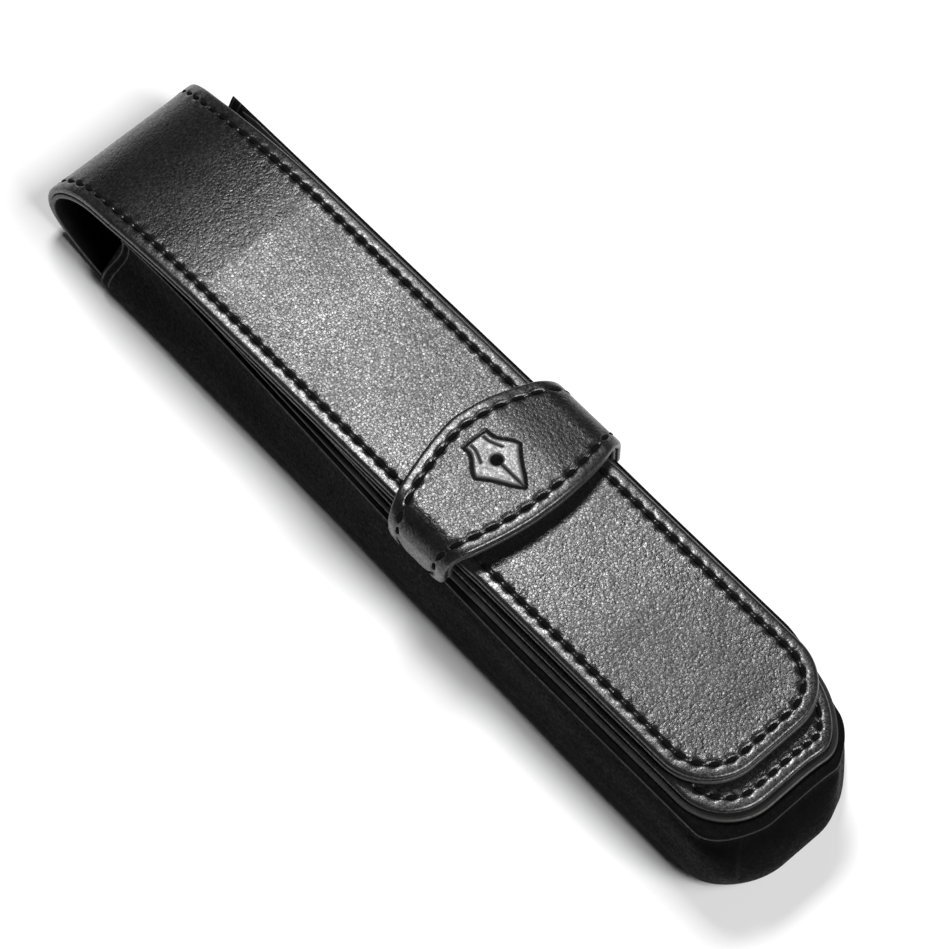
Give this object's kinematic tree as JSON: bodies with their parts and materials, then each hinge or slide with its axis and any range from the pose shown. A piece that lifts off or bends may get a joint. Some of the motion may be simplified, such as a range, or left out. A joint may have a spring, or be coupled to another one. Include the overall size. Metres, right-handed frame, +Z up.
{
  "type": "fountain pen case",
  "caption": "Slim black leather case for one fountain pen: a stitched pouch with a gusset, a wrap-over flap and a fixed keeper band that holds the flap down.",
  "frame": {"origin": "centre of the case's outline on the surface that its back lies on", "axes": "+X along the case from the fold towards the closed end, +Y across it, +Z up through the flap"},
  "size_m": [0.1622, 0.0354, 0.0253],
  "materials": {
    "outer_leather": "fine grain, satin",
    "gusset_leather": "smooth soft leather, low sheen",
    "lining_leather": "smooth, low sheen",
    "board": "pressed leather-fibre board",
    "thread": "waxed bonded thread"
  },
  "bodies": {
    "pouch": {"back_panel": "outer_leather", "back_stiffener": "board", "back_lining": "lining_leather", "fold_loop": "outer_leather", "fold_loop_lining": "lining_leather", "gusset": "gusset_leather", "gusset_lining": "lining_leather", "front_panel": "outer_leather", "front_panel_lining": "lining_leather", "keeper": "outer_leather", "keeper_lining": "lining_leather", "back_stitching": "thread", "fold_loop_stitching": "thread", "front_panel_stitching": "thread", "keeper_stitching": "thread"},
    "flap_rear": {"flap_rear": "outer_leather", "flap_rear_lining": "lining_leather", "flap_rear_stitching": "thread"},
    "flap_middle": {"flap_middle": "outer_leather", "flap_middle_lining": "lining_leather", "flap_middle_stitching": "thread"},
    "flap_tip": {"flap_tip": "outer_leather", "flap_tip_lining": "lining_leather", "flap_tip_stitching": "thread"}
  },
  "joints": [
    {"name": "flap_bow", "type": "hinge", "parent": "pouch", "child": "flap_rear", "pos_m": [-0.067, 0, 0.0223], "axis": [0, -1, 0], "range_deg": [0, 75]},
    {"name": "flap_crest", "type": "hinge", "parent": "flap_rear", "child": "flap_middle", "pos_m": [-0.03503, 0, 0.0203], "axis": [0, -1, 0], "range_deg": [-150, 0]},
    {"name": "flap_draw", "type": "hinge", "parent": "flap_middle", "child": "flap_tip", "pos_m": [-0.00305, 0, 0.0223], "axis": [0, -1, 0], "range_deg": [0, 75]}
  ],
  "couplings": [
    {"joint": "flap_crest", "follows": "flap_bow", "ratio": -2},
    {"joint": "flap_draw", "follows": "flap_bow", "ratio": 1}
  ]
}
